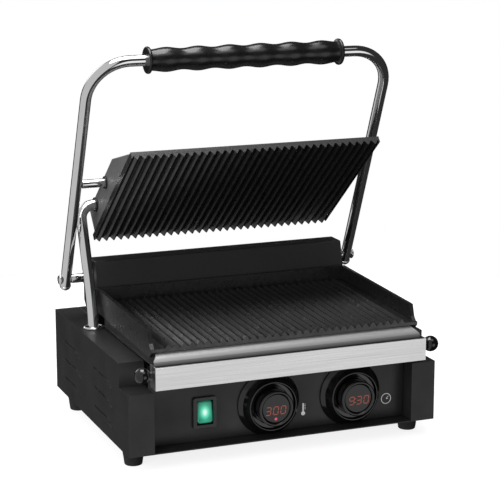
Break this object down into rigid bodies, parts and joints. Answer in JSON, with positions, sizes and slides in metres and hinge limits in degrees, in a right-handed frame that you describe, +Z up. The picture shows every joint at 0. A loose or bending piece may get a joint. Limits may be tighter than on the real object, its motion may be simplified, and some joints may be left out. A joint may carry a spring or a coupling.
{
  "type": "panini press",
  "caption": "Electric contact grill with ribbed iron plates, a chrome lifting frame, a sliding drip tray and rotary controls, shown open.",
  "frame": {"origin": "middle of the footprint, on the bench", "axes": "+X to the operator's right, +Y to the back, +Z up; the operator stands on the -Y side"},
  "size_m": [0.4274, 0.352, 0.4989],
  "materials": {
    "powder_coat": "satin black powder coat",
    "cast_iron": "matt black coated cast iron",
    "chrome": "polished chrome",
    "brushed_steel": "lengthwise brushed stainless steel",
    "plain_steel": "plain steel",
    "gloss_black": "polished black plastic",
    "matte_black": "satin black moulded plastic",
    "foot_rubber": "matt black rubber",
    "green_lens": "translucent green, lit from behind",
    "display_lens": "smoked display window",
    "led_red": "lit display segments",
    "white_print": "printed symbols",
    "brass": "plain brass",
    "circuit_board": "green solder mask",
    "ceramic": "unglazed steatite"
  },
  "bodies": {
    "base": {"back_cover": "powder_coat", "bottom_cover": "powder_coat", "cable_gland": "matte_black", "conduit_flange": "chrome", "control_panel": "powder_coat", "deck": "powder_coat", "drip_apron": "brushed_steel", "foot_front_left": "foot_rubber", "foot_front_right": "foot_rubber", "foot_rear_left": "foot_rubber", "foot_rear_right": "foot_rubber", "lower_grill_plate": "cast_iron", "lower_heating_element": "plain_steel", "lower_pan": "powder_coat", "lower_reflector": "plain_steel", "rear_housing": "powder_coat", "shaft_bushing_left": "plain_steel", "shaft_bushing_right": "plain_steel", "side_housing_left": "powder_coat", "side_housing_right": "powder_coat", "switch_housing": "matte_black", "temperature_board": "circuit_board", "temperature_dial_base": "gloss_black", "temperature_display": "display_lens", "terminal_block": "ceramic", "thermostat_probe": "brass", "timer_board": "circuit_board", "timer_dial_base": "gloss_black", "timer_display": "display_lens", "torsion_spring_left": "plain_steel", "torsion_spring_right": "plain_steel"},
    "lift_frame": {"lift_frame_tube": "chrome", "hinge_shaft": "chrome", "hinge_nut_left": "chrome", "hinge_nut_right": "chrome", "arm_cap_left": "chrome", "arm_cap_right": "chrome", "pivot_rod_left": "chrome", "pivot_rod_right": "chrome", "handle_grip": "matte_black"},
    "upper_platen": {"upper_grill_plate": "cast_iron", "upper_housing": "powder_coat", "pivot_bushing_left": "matte_black", "pivot_bushing_right": "matte_black", "upper_heating_element": "plain_steel", "upper_reflector": "plain_steel", "conduit_tube": "chrome", "conduit_collar": "matte_black"},
    "drip_tray_unit": {"drip_tray": "brushed_steel", "tray_knob_left": "gloss_black", "tray_knob_right": "gloss_black"},
    "rocker": {"power_rocker": "green_lens"},
    "temperature_ring": {"temperature_dial_ring": "gloss_black"},
    "timer_ring": {"timer_dial_ring": "gloss_black"}
  },
  "joints": [
    {"name": "frame_hinge", "type": "hinge", "parent": "base", "child": "lift_frame", "pos_m": [0, 0.11645, 0.1828], "axis": [1, 0, 0], "range_deg": [0, 59.2]},
    {"name": "platen_tilt", "type": "hinge", "parent": "lift_frame", "child": "upper_platen", "pos_m": [0, 0.05751, 0.31965], "axis": [1, 0, 0], "range_deg": [-18.55, 0]},
    {"name": "tray_slide", "type": "slide", "parent": "base", "child": "drip_tray_unit", "axis": [0, -1, 0], "range_m": [0, 0.19]},
    {"name": "rocker_press", "type": "hinge", "parent": "base", "child": "rocker", "pos_m": [-0.1002, -0.12625, 0.0608], "axis": [1, 0, 0], "range_deg": [0, 16]},
    {"name": "temperature_turn", "type": "hinge", "parent": "base", "child": "temperature_ring", "pos_m": [-0.015, -0.14155, 0.0625], "axis": [0, -1, 0], "continuous": true},
    {"name": "timer_turn", "type": "hinge", "parent": "base", "child": "timer_ring", "pos_m": [0.0965, -0.14155, 0.0625], "axis": [0, -1, 0], "continuous": true}
  ],
  "couplings": [
    {"joint": "platen_tilt", "follows": "frame_hinge", "ratio": -0.3117}
  ]
}
